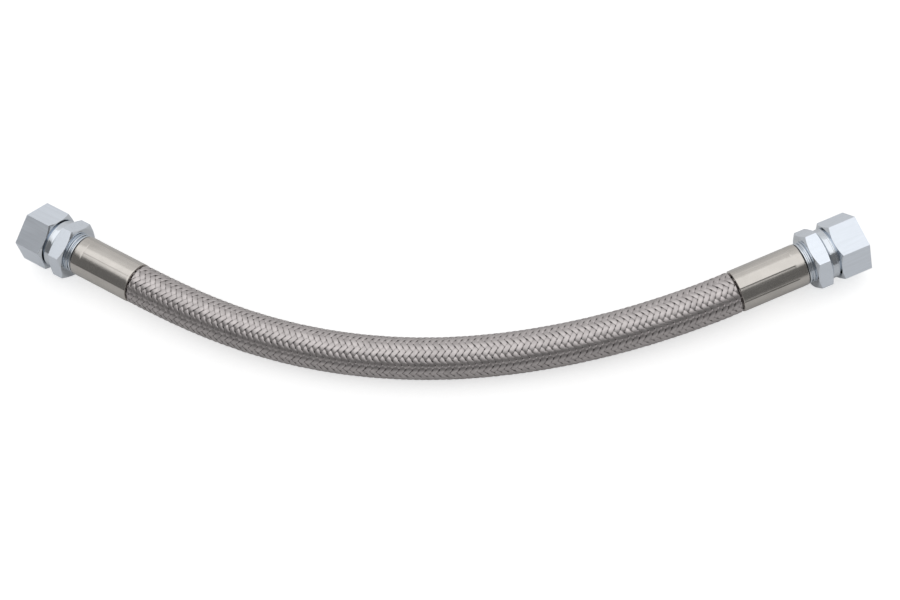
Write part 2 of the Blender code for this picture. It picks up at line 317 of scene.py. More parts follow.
class Nodes:
    """A short way to write the nodes of a material or a world."""

    def __init__(self, name: str, kind: str = "materials") -> None:
        """Start an empty material of that name, or a world where the kind is worlds."""
        self.owner = getattr(bpy.data, kind).new(name)
        self.owner.use_nodes = True
        self.tree = self.owner.node_tree
        self.tree.nodes.clear()

    def add(self, kind: str, settings: dict | None = None, **inputs: object) -> bpy.types.Node:
        """Add a node.

        Args:
            kind: The node's type, without its ShaderNode prefix.
            settings: Values of the node's own properties.
            **inputs: A value or an output socket for each input, with _ for a space in its
                name, or _ and its number.

        Returns:
            The node.
        """
        node = self.tree.nodes.new("ShaderNode" + kind)
        for key, value in (settings or {}).items():
            setattr(node, key, value)
        for key, value in inputs.items():
            socket = node.inputs[int(key[1:]) if key[1:].isdigit() else key.replace("_", " ")]
            if isinstance(value, Socket):
                self.tree.links.new(value, socket)
            else:
                socket.default_value = value
        return node

    def math(self, operation: str, first: object, second: object) -> Socket:
        """Work out two values with a math node, and give the result."""
        return self.add("Math", {"operation": operation}, _0=first, _1=second).outputs[0]

    def ramp(self, factor: Socket, stops: Sequence[tuple[float, tuple]]) -> Socket:
        """Add a colour ramp over a factor.

        Args:
            factor: The socket that drives it.
            stops: (position, colour) pairs.

        Returns:
            The ramp's colour.
        """
        node = self.add("ValToRGB", Fac=factor)
        elements = node.color_ramp.elements
        while len(elements) < len(stops):
            elements.new(0.5)
        for element, (position, colour) in zip(elements, stops):
            element.position = position
            element.color = (*colour, 1.0)
        return node.outputs["Color"]

    def span(self, value: Socket, low: float, high: float) -> Socket:
        """Spread a noise value from about 0.3 to 0.7 over a range, and give the result."""
        ends = {"From_Min": 0.3, "From_Max": 0.7, "To_Min": low, "To_Max": high}
        return self.add("MapRange", Value=value, **ends).outputs["Result"]

    def finish(self, shader: bpy.types.Node, output: str = "OutputMaterial") -> bpy.types.ID:
        """Join a shader to the output, and give the material or world."""
        self.add(output, Surface=shader.outputs[0])
        return self.owner


def shade(colour: tuple, factor: float) -> tuple:
    """Make a colour lighter or darker by a factor."""
    return tuple(min(1.0, part * factor) for part in colour)


def grey(level: float) -> tuple[float, float, float, float]:
    """Give the opaque grey of a brightness."""
    return level, level, level, 1.0


@dataclass(frozen=True)
class Metal:
    """A bare metal surface: its colour, gloss, and the fine lines that its making left.

    The grain's three sizes are along the piece's own axes. The colour varies by the tone to either
    side, in clouds of the blotch's size, or with the grain where the metal is streaked.
    """

    name: str
    slot: Slot
    colour: tuple[float, float, float]
    roughness: tuple[float, float]
    grain: tuple[float, float, float]
    relief: float = 0.0
    blotch: float = 8.0 * MM
    tone: float = 0.06
    metallic: float = 1.0
    streaked: bool = False

    def material(self, place: Matrix | None = None) -> bpy.types.Material:
        """Make the material.

        Args:
            place: The piece's frame, which the grain lines follow. None is the row frame.

        Returns:
            A metal with grain in its roughness and relief, and changes of tone.
        """
        nodes = Nodes(self.name)
        where = nodes.add("TexCoord").outputs["Object"]
        turn = place or Matrix.Identity(4)
        lined = nodes.add(
            "Mapping",
            {"vector_type": "TEXTURE"},
            Vector=where,
            Location=turn.translation,
            Rotation=turn.to_euler(),
            Scale=self.grain,
        )
        lines = nodes.add(
            "TexNoise", Vector=lined.outputs["Vector"], Scale=1.0, Detail=3.0, Roughness=0.6
        ).outputs["Fac"]
        tint = lines
        if not self.streaked:
            cloud = nodes.add("TexNoise", Vector=where, Scale=1 / self.blotch, Detail=4.0)
            tint = cloud.outputs["Fac"]
        colour = nodes.ramp(
            tint,
            [(0.32, shade(self.colour, 1 - self.tone)), (0.68, shade(self.colour, 1 + self.tone))],
        )
        shine = nodes.span(lines, *self.roughness)
        inputs = {"Base_Color": colour, "Metallic": self.metallic, "Roughness": shine}
        if self.relief:
            bump = nodes.add("Bump", Height=lines, Strength=1.0, Distance=self.relief)
            inputs["Normal"] = bump.outputs["Normal"]
        return nodes.finish(nodes.add("BsdfPrincipled", **inputs))

    def dress(self, obj: Obj, place: Matrix | None = None) -> None:
        """Give a piece this finish."""
        obj.data.materials.clear()
        obj.data.materials.append(self.material(place))


@dataclass(frozen=True)
class Rubber:
    """Black nitrile rubber with a fine moulded skin."""

    name: str
    colour: tuple[float, float, float] = (0.03, 0.03, 0.032)
    skin: float = 0.35 * MM

    def material(self) -> bpy.types.Material:
        """Make the material: matt black with a faint bloom and a pebbled skin."""
        nodes = Nodes(self.name)
        where = nodes.add("TexCoord").outputs["Object"]
        pebble = nodes.add("TexNoise", Vector=where, Scale=1 / self.skin, Detail=2.0).outputs["Fac"]
        bloom = nodes.add("TexNoise", Vector=where, Scale=120.0, Detail=5.0).outputs["Fac"]
        colour = nodes.ramp(bloom, [(0.35, self.colour), (0.7, shade(self.colour, 1.7))])
        bump = nodes.add("Bump", Height=pebble, Strength=0.4, Distance=0.05 * MM)
        shader = nodes.add(
            "BsdfPrincipled",
            Base_Color=colour,
            Roughness=nodes.span(bloom, 0.55, 0.75),
            Normal=bump.outputs["Normal"],
        )
        return nodes.finish(shader)

    def dress(self, obj: Obj) -> None:
        """Give a piece this finish."""
        obj.data.materials.clear()
        obj.data.materials.append(self.material())


WIRE = Metal(
    "woven_stainless_wire",
    Slot.WIRE,
    (0.56, 0.525, 0.52),
    roughness=(0.30, 0.42),
    grain=(0.5 * MM, 0.5 * MM, 0.5 * MM),
    blotch=2.5 * MM,
    tone=0.12,
)
CRIMPED_STEEL = Metal(
    "polished_stainless_crimped",
    Slot.STEEL,
    (0.62, 0.59, 0.555),
    roughness=(0.13, 0.24),
    grain=(0.5 * MM, 0.5 * MM, 14.0 * MM),
    relief=0.004 * MM,
    tone=0.05,
)
DRAWN_ZINC = Metal(
    "bright_zinc_hexagon",
    Slot.ZINC,
    (0.79, 0.84, 0.91),
    roughness=(0.29, 0.36),
    grain=(1.0 * MM, 1.0 * MM, 14.0 * MM),
    relief=0.001 * MM,
    tone=0.035,
    metallic=0.74,
    streaked=True,
)
BRIGHT_ZINC = replace(
    DRAWN_ZINC, name="bright_zinc_thin_hexagon", roughness=(0.19, 0.26), tone=0.03, metallic=0.84
)
TURNED_ZINC = Metal(
    "bright_zinc_turned",
    Slot.ZINC,
    (0.73, 0.77, 0.82),
    roughness=(0.10, 0.19),
    grain=(30.0 * MM, 30.0 * MM, 0.4 * MM),
    relief=0.0015 * MM,
    tone=0.04,
)


# Hose


@dataclass
class WovenHose:
    """Rubber hose with a braid of flat strands, each of several parallel wires.

    A strand goes over two strands of the other hand and then under two. Fullness is its width as a
    share of its spacing, and waist what it loses of that where it is narrowest. Swing, crown and
    furrow are heights: of the weave's wave, of the strand's back and of the gaps between wires.
    """

    bore: float = 10.0 * MM
    liner_wall: float = 2.6 * MM
    braid_inner: float = 7.75 * MM
    braid_outer: float = 8.35 * MM
    liner_grip: float = 23.5 * MM
    tuck: float = 1.5 * MM
    squeeze: float = 1.1 * MM
    squeeze_end: float = 0.3 * MM
    squeeze_start: float = 1.0 * MM
    strands: int = 14
    wires: int = 5
    lead: float = 36.0 * MM
    wire: float = 0.3 * MM
    fullness: float = 1.02
    waist: float = 0.17
    furrow: float = 0.06 * MM
    crown: float = 0.11 * MM
    swing: float = 0.27 * MM
    firmness: float = 1.1
    sink: float = 0.03 * MM
    drift: float = 0.012
    lift: float = 0.012 * MM
    steps_per_crossing: int = 5
    row_angle: float = math.radians(72.9)
    row_station: float = 133.14 * MM
    strands_per_piece: int = 7
    up: Vector = field(default_factory=lambda: Vector((0.001993, -0.088302, 0.996092)))
    route: tuple[tuple[float, float, float], ...] = (
        (-0.121441, 0.001306, 0.011235),
        (-0.082852, -0.015427, 0.009674),
        (-0.042251, -0.025981, 0.008657),
        (-0.000243, -0.028865, 0.008317),
        (0.04145, -0.02428, 0.00864),
        (0.082053, -0.013417, 0.009522),
        (0.120959, 0.002721, 0.010875),
    )
    line: np.ndarray = field(init=False)
    stations: np.ndarray = field(init=False)
    length: float = field(init=False)
    pieces: list[Obj] = field(default_factory=list)

    def follow_route(self, left: Seat, right: Seat) -> None:
        """Run the centre line smoothly through the route, straight out of both fittings.

        Args:
            left: Seat of the left fitting.
            right: Seat of the right fitting.
        """
        points = np.array(self.route)
        gaps = np.linalg.norm(np.diff(points, axis=0), axis=1)
        last = len(points) - 1
        matrix = np.eye(len(points))
        slopes = np.zeros_like(points)
        slopes[0] = left.along
        slopes[last] = -right.along
        for i in range(1, last):
            before, after = gaps[i - 1], gaps[i]
            matrix[i, i - 1 : i + 2] = (after, 2 * (before + after), before)
            slopes[i] = 3 * after * (points[i] - points[i - 1]) / before
            slopes[i] += 3 * before * (points[i + 1] - points[i]) / after
        slopes = np.linalg.solve(matrix, slopes)

        fine = []
        for i, gap in enumerate(gaps):
            t = np.linspace(0.0, 1.0, 200, endpoint=i == last - 1)[:, None]
            fine.append(
                (2 * t**3 - 3 * t**2 + 1) * points[i]
                + (t**3 - 2 * t**2 + t) * gap * slopes[i]
                + (3 * t**2 - 2 * t**3) * points[i + 1]
                + (t**3 - t**2) * gap * slopes[i + 1]
            )
        self.line = np.concatenate(fine)
        steps = np.linalg.norm(np.diff(self.line, axis=0), axis=1)
        self.stations = np.concatenate([[0.0], np.cumsum(steps)])
        self.length = float(self.stations[-1])

    def bend(self, station: np.ndarray, angle: np.ndarray, radius: np.ndarray) -> np.ndarray:
        """Lay points of a straight hose along the centre line.

        Args:
            station: Distance of each point along the hose.
            angle: Its angle above the front of the hose.
            radius: Its distance from the centre line.

        Returns:
            The points in the row frame, with one more axis than the arguments.
        """
        heading = np.gradient(self.line, self.stations, axis=0)
        heading /= np.linalg.norm(heading, axis=1)[:, None]
        inside = np.clip(station, 0.0, self.length)
        beyond = (station - inside)[..., None]
        centre, ahead = (
            np.stack([np.interp(inside, self.stations, part[:, k]) for k in range(3)], axis=-1)
            for part in (self.line, heading)
        )
        up = np.array(self.up)
        front = np.cross(ahead, up)
        reach = np.cos(angle)[..., None] * front + np.sin(angle)[..., None] * up
        return centre + beyond * ahead + radius[..., None] * reach

    def drawn_in(self, station: np.ndarray) -> np.ndarray:
        """Say how far the hose is drawn in at each station, by the crimp at both ends."""
        inward = np.minimum(station, self.length - station)
        share = (self.squeeze_start - inward) / (self.squeeze_start - self.squeeze_end)
        share = np.clip(share, 0.0, 1.0)
        return self.squeeze * share * share * (3 - 2 * share)

    def wave(self, place: np.ndarray) -> np.ndarray:
        """Give a strand's height from -1 to 1: high at place 0, low at 2, and again at 4."""
        return np.tanh(self.firmness * np.cos(np.pi * place / 2)) / math.tanh(self.firmness)

    @staticmethod
    def ripple(
        rng: np.random.Generator, along: np.ndarray, size: float, rates: tuple[float, float]
    ) -> np.ndarray:
        """Let a value wander: four waves of random size, phase and rate (radians per crossing)."""
        return sum(
            rng.normal(0.0, size) * np.sin(along * rng.uniform(*rates) + rng.uniform(0, math.tau))
            for _ in range(4)
        )

    def strand_section(self) -> tuple[np.ndarray, np.ndarray]:
        """Outline a flat strand: a ridge for each wire on top, and a flat underside.

        Returns:
            Positions across the strand, from -0.5 to 0.5, and heights above its middle.
        """
        half = self.wire / 2
        count = 2 * self.wires + 1
        across = np.linspace(-0.5, 0.5, count)
        height = np.where(np.arange(count) % 2, half, half - self.furrow)
        height = height - self.crown * (2 * across) ** 2
        return np.append(across, [0.5, -0.5]), np.append(height, [-half, -half])

    def strand_points(self, hand: Hand, number: int) -> np.ndarray:
        """Place the rings of one strand.

        Args:
            hand: The way that it winds.
            number: Which of its hand it is.

        Returns:
            Points by ring and by place in the strand's section.
        """
        rng = np.random.default_rng(100 * (hand.value + 2) + number)
        step = math.tau / (2 * self.strands)
        pitch = self.lead / (2 * self.strands)
        low = -self.tuck - self.row_station
        high = self.length + self.tuck - self.row_station
        across, height = self.strand_section()
        rings = math.ceil((high - low) / pitch * self.steps_per_crossing) + 1
        along = np.linspace(low / pitch, high / pitch, rings)[:, None]
        drift = self.ripple(rng, along, self.drift, (0.15, 1.1))
        lift = self.ripple(rng, along, self.lift, (0.2, 1.7))
        other = number + hand.value * along
        place = number + other + hand.rhythm
        width = self.fullness - self.waist * (0.5 + 0.5 * np.cos(math.tau * place))
        own = number + across[None, :] * width + drift
        station = self.row_station + hand.value * (other - own) * pitch
        angle = self.row_angle + step * (own + other)
        middle = (self.braid_inner + self.braid_outer) / 2 - self.sink
        radius = middle + self.swing * self.wave(place) + height[None, :] + lift
        radius = radius - self.drawn_in(station)
        return self.bend(station, angle, radius)

    def build_braid(self, hand: Hand, first: int, name: str) -> Obj:
        """Weave some strands of one hand into a piece.

        Args:
            hand: The way that they wind.
            first: Number of the first strand.
            name: Name of the piece.

        Returns:
            The piece, with a closed mesh for each strand.
        """
        points, quads, caps = [], [], []
        base = 0
        for number in range(first, first + self.strands_per_piece):
            strand = self.strand_points(hand, number)
            rings, places = strand.shape[:2]
            grid = base + np.arange(rings * places).reshape(rings, places)
            beside = np.roll(grid, -1, axis=1)
            corners = np.stack([grid[:-1], beside[:-1], beside[1:], grid[1:]], axis=-1)
            ends = [grid[0], grid[-1][::-1]]
            if hand is Hand.RISING:
                corners = corners[..., ::-1]
                ends = [end[::-1] for end in ends]
            points.append(strand.reshape(-1, 3))
            quads.append(corners.reshape(-1, 4))
            caps += [end.tolist() for end in ends]
            base += rings * places
        mesh = bpy.data.meshes.new(name)
        mesh.from_pydata(np.concatenate(points), [], np.concatenate(quads).tolist() + caps)
        mesh.shade_smooth()
        mesh.set_sharp_from_angle(angle=math.radians(70))
        piece = bpy.data.objects.new(name, mesh)
        bpy.context.scene.collection.objects.link(piece)
        WIRE.dress(piece)
        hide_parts("wire_braid")
        self.pieces.append(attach(piece, "hose"))
        return piece

    def build_liner(self) -> Obj:
        """Make the rubber tube inside the braid, which goes on inside each ferrule.

        Returns:
            The tube, as a closed wall.
        """
        sides, plain = 40, 3 * MM
        ends = np.array([-self.liner_grip, self.squeeze_end, 0.6 * MM, self.squeeze_start])
        middle = np.linspace(plain, self.length - plain, 80)
        stations = np.concatenate([ends, middle, self.length - ends[::-1]])[:, None]
        angles = np.linspace(0.0, math.tau, sides, endpoint=False)[None, :]
        outer = self.bore / 2 + self.liner_wall - self.drawn_in(stations) + 0 * angles
        inner = np.full_like(outer, self.bore / 2)
        stations, angles = np.broadcast_arrays(stations, angles)
        rings = [self.bend(stations, angles, wall) for wall in (outer, inner)]
        count = len(stations)
        grid = np.arange(count * sides).reshape(count, sides)
        beside = np.roll(grid, -1, axis=1)
        skin = np.stack([grid[:-1], grid[1:], beside[1:], beside[:-1]], axis=-1).reshape(-1, 4)
        shift = count * sides
        first = np.stack([grid[0], beside[0], beside[0] + shift, grid[0] + shift], axis=-1)
        last = np.stack([grid[-1], grid[-1] + shift, beside[-1] + shift, beside[-1]], axis=-1)
        faces = np.concatenate([skin, skin[:, ::-1] + shift, first, last])
        mesh = bpy.data.meshes.new("liner")
        points = np.concatenate([wall.reshape(-1, 3) for wall in rings])
        mesh.from_pydata(points, [], faces.tolist())
        mesh.shade_smooth()
        mesh.set_sharp_from_angle(angle=math.radians(35))
        liner = bpy.data.objects.new("rubber_liner", mesh)
        bpy.context.scene.collection.objects.link(liner)
        Rubber("black_nitrile_liner").dress(liner)
        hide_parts("inner_tube")
        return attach(liner, "hose")


# Fittings


@dataclass
class Fitting:
    """A crimped hose fitting: ferrule, insert with nose and collar, O-ring and swivel nut.

    Only the hexagons reach out past the core radius. Each crimping jaw leaves a flat, with a fine
    ridge between two flats.
    """

    across_flats: float = 22.0 * MM
    corner_spare: float = 0.2 * MM
    chamfer: float = math.radians(33.0)
    back_chamfer: float = math.radians(19.0)
    nut_hexagon: float = 12.4 * MM
    nut_length: float = 15.9 * MM
    thread_root: float = 9.0 * MM
    thread_crest: float = 8.36 * MM
    thread_pitch: float = 1.5 * MM
    thread_turns: int = 6
    insert_bore: float = 3.7 * MM
    nose_depth: float = 5.0 * MM
    neck: float = 6.3 * MM
    shoulder: float = 7.5 * MM
    hexagon_start: float = 16.2 * MM
    hexagon_end: float = 22.4 * MM
    collar_radius: float = 8.53 * MM
    ferrule_start: float = 25.0 * MM
    ferrule_end: float = 53.0 * MM
    ferrule_radius: float = 8.53 * MM
    ferrule_rise: float = 0.08 * MM
    ferrule_step: float = 4.0 * MM
    crimp_jaws: int = 8
    crimp_flat: float = 0.1 * MM
    crimp_ridge: float = 0.08 * MM
    ridge_width: float = 0.36 * MM
    ridge_fade: float = 0.8 * MM
    core: float = 10.5 * MM
    edge: float = 0.38 * MM
    seal_radius: float = 6.02 * MM
    seal_section: float = 0.75 * MM
    seal_depth: float = 7.788 * MM
    seal_flash: float = 0.03 * MM
    parts: dict[str, Obj] = field(default_factory=dict)

    @property
    def rim(self) -> float:
        """Radius that a hexagon is turned to before its flats are cut."""
        return self.across_flats / math.sqrt(3) + self.corner_spare

    @property
    def chamfer_depth(self) -> float:
        """Distance along the axis from a hexagon's rim down to its flats."""
        return (self.rim - self.across_flats / 2) * math.tan(self.chamfer)

    def on_hexagon(self, place: Vector) -> bool:
        """Say whether a place is on a hexagon, further out than all that is turned."""
        return Vector(place.xy).length > self.core

    def build_nut(self) -> Obj:
        """Make the swivel nut: hexagon, groove and ring, rolled skirt, thread and inner seat."""
        flat = self.across_flats / 2
        hexagon, length, lip = self.nut_hexagon, self.nut_length, 6.6 * MM
        skirt, ring, groove = 10.2 * MM, 10.3 * MM, 9.0 * MM
        near, far = 13.0 * MM, 13.5 * MM
        outline = [
            (0.0, 9.2 * MM),
            (0.2 * MM, self.thread_root),
            (10.2 * MM, self.thread_root),
            (10.9 * MM, 8.3 * MM),
            (11.5 * MM, 8.3 * MM),
            (13.2 * MM, lip),
        ]
        outline += fillet((13.2 * MM, lip), (length, lip), (length, skirt), 0.35 * MM)
        outline += fillet((length, lip), (length, skirt), (hexagon, skirt), 1.0 * MM, 6)
        outline += [(far + 0.06 * MM, skirt)]
        outline += fillet((far + 0.06 * MM, skirt), (far, ring), (near, ring), 0.08 * MM, 3)
        outline += fillet((far, ring), (near, ring), (near, groove), 0.12 * MM, 3)
        outline += [
            (near, groove),
            (hexagon + 0.02 * MM, groove),
            (hexagon, flat - 0.05 * MM),
            (hexagon - self.chamfer_depth, self.rim),
            (0.14 * MM, self.rim),
            (0.0, self.rim - 0.24 * MM),
        ]
        nut = Bench.turn("swivel_nut", outline, 96)
        Bench.keep_hexagon(nut, self.across_flats, 20 * MM)
        Bench.break_edges(nut, self.edge, self.on_hexagon)
        self.build_thread(nut)
        Bench.smooth(nut)
        return nut

    def build_thread(self, nut: Obj) -> None:
        """Wind the nut's inner thread up its bore as a ridge, and join it to the nut."""
        Bench.clear()
        bpy.ops.mesh.primitive_plane_add(size=1.0)
        ridge = bpy.context.object
        root, crest = self.thread_root + 0.03 * MM, self.thread_crest
        middle, root_half, crest_half = 0.92 * MM, 0.6 * MM, 0.1 * MM
        corners = [
            (root, middle - root_half),
            (root, middle + root_half),
            (crest, middle + crest_half),
            (crest, middle - crest_half),
        ]
        for index, (radius, depth) in zip(ridge.data.polygons[0].vertices, corners):
            ridge.data.vertices[index].co = (radius, 0.0, depth)
        Bench.edit(ridge, "FACE", "SELECT")
        bpy.ops.mesh.delete(type="ONLY_FACE")
        bpy.ops.object.mode_set(mode="OBJECT")
        Bench.apply(
            ridge,
            "SCREW",
            angle=math.tau,
            steps=48,
            render_steps=48,
            screw_offset=self.thread_pitch,
            iterations=self.thread_turns,
        )
        Bench.edit(ridge)
        bpy.ops.mesh.select_non_manifold()
        bpy.ops.mesh.edge_face_add()
        bpy.ops.mesh.select_all(action="SELECT")
        bpy.ops.mesh.normals_make_consistent(inside=False)
        bpy.ops.object.mode_set(mode="OBJECT")
        Bench.clear()
        ridge.select_set(True)
        nut.select_set(True)
        bpy.context.view_layer.objects.active = nut
        bpy.ops.object.join()

    def nose_outline(self) -> Outline:
        """Outline the nose: bore, tip, O-ring groove, cone, shoulder and neck."""
        slope = math.tan(math.radians(12.0))
        tip = 5.75 * MM

        def cone(depth: float) -> tuple[float, float]:
            """Give the point of the cone at a depth."""
            return depth, tip + (depth - self.nose_depth) * slope

        near, far, floor = 6.788 * MM, 8.788 * MM, 5.0 * MM
        face, shoulder = 10.576 * MM, self.shoulder
        outline = fillet(
            (self.nose_depth, self.insert_bore), (self.nose_depth, tip), cone(6 * MM), 0.4 * MM
        )
        outline += [cone(6.7 * MM), (near, 6.05 * MM), (near, floor), (far, floor)]
        outline += [(far, 6.47 * MM), cone(8.88 * MM), cone(face)]
        outline += [(face, shoulder - 0.1 * MM), (face + 0.1 * MM, shoulder)]
        outline += [(11.8 * MM, shoulder), (11.95 * MM, shoulder - 0.08 * MM)]
        outline += [(13.0 * MM, self.neck + 0.08 * MM), (13.2 * MM, self.neck)]
        return outline

    def collar_outline(self) -> Outline:
        """Outline the two rounded collar rings and the groove between them."""
        radius, width, groove = self.collar_radius, 0.9 * MM, 0.5 * MM
        root, rounding, steps = radius - 0.75 * MM, 0.42 * MM, 8
        outline = []
        start = self.hexagon_end
        for _ in range(2):
            outline.append((start, root))
            for i in range(steps + 1):
                turn = math.pi * i / steps
                depth = start + width / 2 * (1 - math.cos(turn))
                outline.append((depth, radius - rounding * (1 - math.sin(turn) ** 0.6)))
            outline.append((start + width, root))
            start += width + groove
        return outline

    def tail_outline(self) -> Outline:
        """Outline the locking bead and the barbed tail, back to the bore."""
        bore, stem, barb, bead = self.insert_bore, 4.45 * MM, 4.75 * MM, 6.3 * MM
        near, far, end, pitch = 28.2 * MM, 29.2 * MM, 51.0 * MM, 3.6 * MM
        outline = [(24.75 * MM, 5.6 * MM), (near, 5.6 * MM), (near, bead), (far, bead), (far, stem)]
        for left in range(5, 0, -1):
            crest = end - left * pitch
            outline += [(crest, stem), (crest + 0.05 * MM, barb), (crest + 1.2 * MM, stem)]
        outline += [(end, stem), (end, 3.9 * MM), (end - 0.2 * MM, bore)]
        outline += [(self.nose_depth + 0.25 * MM, bore), (self.nose_depth, bore + 0.25 * MM)]
        return outline

    def build_insert(self) -> Obj:
        """Make the insert in one piece, from the nose over the hexagon to the barbed tail."""
        flat = self.across_flats / 2
        start, end = self.hexagon_start, self.hexagon_end
        outline = self.nose_outline()
        outline += [
            (start, self.neck),
            (start, flat - 0.1 * MM),
            (start + (self.rim - flat) * math.tan(self.back_chamfer), self.rim),
            (end - self.chamfer_depth, self.rim),
            (end, flat - 0.1 * MM),
        ]
        outline += self.collar_outline() + self.tail_outline()
        insert = Bench.turn("insert", outline, 96)
        Bench.keep_hexagon(insert, self.across_flats, 60 * MM)
        Bench.break_edges(insert, self.edge, self.on_hexagon)
        Bench.smooth(insert)
        return insert

    def build_ferrule(self) -> Obj:
        """Make the crimped ferrule: a turned shell, pressed by eight jaws."""
        start, end, radius = self.ferrule_start, self.ferrule_end, self.ferrule_radius
        step = start + self.ferrule_step
        lip, bore, floor = 5.9 * MM, 7.5 * MM, 27.9 * MM
        collar, groove = radius + self.ferrule_rise, radius - 0.05 * MM
        outline = [(start, lip), (floor, lip), (floor, bore), (end - 0.2 * MM, bore)]
        outline += fillet((end - 0.2 * MM, bore), (end, bore), (end, radius), 0.15 * MM, 2)
        outline += fillet((end, bore), (end, radius), (step, radius), 0.35 * MM)
        outline += [(end - 1.0 * MM, radius)]
        outline += [(end - share * (end - step), radius) for share in (0.2, 0.4, 0.6, 0.8)]
        outline += [
            (step + 0.55 * MM, radius),
            (step + 0.32 * MM, groove),
            (step + 0.12 * MM, groove),
            (step - 0.06 * MM, collar - 0.02 * MM),
            (step - 0.3 * MM, collar),
            (step - 1.4 * MM, collar),
            (start + 1.2 * MM, collar),
        ]
        outline += fillet((step, collar), (start, collar), (start, lip), 0.4 * MM)
        ferrule = Bench.turn("ferrule", outline, 240)
        for vert in ferrule.data.vertices:
            if Vector(vert.co.xy).length > radius - 0.5 * MM:
                vert.co = self.pressed(vert.co)
        Bench.smooth(ferrule, 40.0)
        return ferrule

    def pressed(self, point: Vector) -> Vector:
        """Move a point of the ferrule's outside as the jaws of the crimping tool press it.

        Args:
            point: The point, in the fitting's frame.

        Returns:
            The pressed point, lower on a flat and higher on a ridge.
        """
        radius = Vector(point.xy).length
        angle = math.atan2(point.y, point.x)
        jaw = math.tau / self.crimp_jaws
        past_step = point.z - self.ferrule_start - self.ferrule_step
        share = min(1.0, max(0.0, 0.5 + past_step / self.ridge_fade))
        across = (angle / jaw + 0.5) % 1.0 - 0.5
        to_ridge = (0.5 - abs(across)) * jaw * radius
        change = -self.crimp_flat * (1 - (2 * across) ** 2)
        change += share * self.crimp_ridge * math.exp(-((to_ridge / self.ridge_width) ** 2))
        factor = (radius + change) / radius
        return Vector((point.x * factor, point.y * factor, point.z))

    def build_o_ring(self) -> Obj:
        """Make the O-ring in the nose's groove, with the mould's flash line round it."""
        Bench.clear()
        bpy.ops.mesh.primitive_torus_add(
            major_segments=96,
            minor_segments=18,
            major_radius=self.seal_radius,
            minor_radius=self.seal_section,
        )
        ring = bpy.context.object
        ring.name = "o_ring"
        Bench.edit(ring, "VERT", "SELECT")
        bpy.ops.transform.resize(value=(1.0, 1.0, 1.06))
        bpy.ops.transform.translate(value=(0.0, 0.0, self.seal_depth))
        bpy.ops.object.mode_set(mode="OBJECT")
        for vert in ring.data.vertices:
            radius = Vector(vert.co.xy).length
            if abs(vert.co.z - self.seal_depth) < 0.05 * MM and radius > self.seal_radius:
                vert.co.xy *= (radius + self.seal_flash) / radius
        bpy.ops.object.shade_smooth()
        return ring

    def place(self, name: str, model: Obj, seat: Seat, roll: float, body: str) -> None:
        """Put a copy of a modelled piece on its seat, in place of its CAD node.

        The mesh is moved, and the object stays at the origin.

        Args:
            name: Base name of the CAD node and of the piece.
            model: The piece about the Z axis.
            seat: The seat of this end.
            roll: Turn about the fitting's axis.
            body: The CAD body that the piece rides on.
        """
        piece = Bench.copy(model, f"{name}_{seat.side.value}_detailed")
        piece.data.transform(seat.matrix(roll))
        piece.data.update()
        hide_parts(f"{name}_{seat.side.value}")
        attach(piece, body)
        self.parts[f"{name}_{seat.side.value}"] = piece
        LOG.info("%s: %d faces", piece.name, len(piece.data.polygons))

    def dress(self, seat: Seat) -> None:
        """Give the four pieces of one end their finishes.

        Args:
            seat: The seat of this end.
        """
        side = seat.side.value
        plain = seat.matrix()
        CRIMPED_STEEL.dress(self.parts[f"ferrule_{side}"], plain)
        Rubber(f"black_nitrile_seal_{side}").dress(self.parts[f"o_ring_{side}"])
        for name, flat_finish in (("swivel_nut", DRAWN_ZINC), ("insert", BRIGHT_ZINC)):
            piece = self.parts[f"{name}_{side}"]
            TURNED_ZINC.dress(piece, plain)
            piece.data.materials.append(flat_finish.material(plain))
            for face in self.flat_faces(piece, plain.inverted()):
                face.material_index = 1

    def flat_faces(self, piece: Obj, inverse: Matrix) -> list[bpy.types.MeshPolygon]:
        """Find the faces of a piece's six flats.

        Args:
            piece: The placed piece.
            inverse: Matrix from the row frame to the fitting's own frame.

        Returns:
            The faces.
        """
        least = self.across_flats / 2 - 0.1 * MM
        found = []
        for face in piece.data.polygons:
            middle = inverse @ face.center
            normal = inverse.to_3x3() @ face.normal
            if abs(normal.z) < 0.02 and Vector(middle.xy).dot(Vector(normal.xy)) > least:
                found.append(face)
        return found


# Studio


